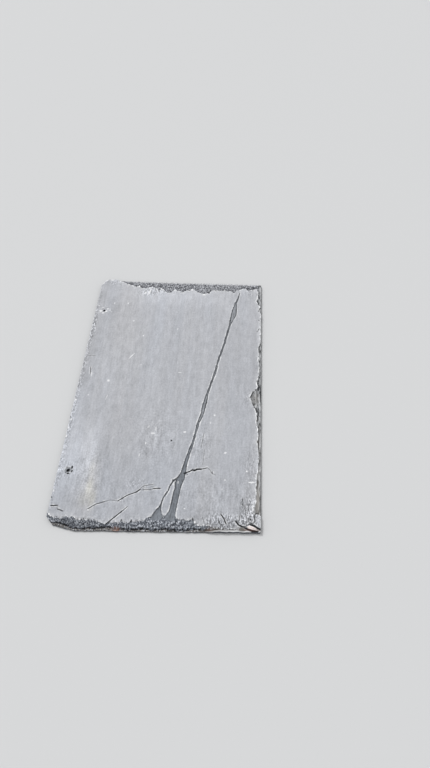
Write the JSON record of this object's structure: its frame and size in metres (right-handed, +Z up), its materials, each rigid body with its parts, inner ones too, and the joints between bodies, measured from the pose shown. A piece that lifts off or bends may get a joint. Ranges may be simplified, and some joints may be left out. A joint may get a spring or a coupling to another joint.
{
  "type": "slate tile",
  "caption": "Rectangular riven slate tile with dressed edges, a split flake scar across its face and nail holes along one long side.",
  "frame": {"origin": "middle of the bed, the flat underside the slate rests on, at the centre of its bounding box", "axes": "+X across the slate, away from the nail holes; +Y along it, from the tail (front edge) to the head (back edge); +Z up, out of the face"},
  "size_m": [0.305, 0.5068, 0.007],
  "materials": {
    "slate": "riven, matt, weathered pale grey"
  },
  "bodies": {
    "root": {"slate_tile": "slate"}
  },
  "joints": []
}
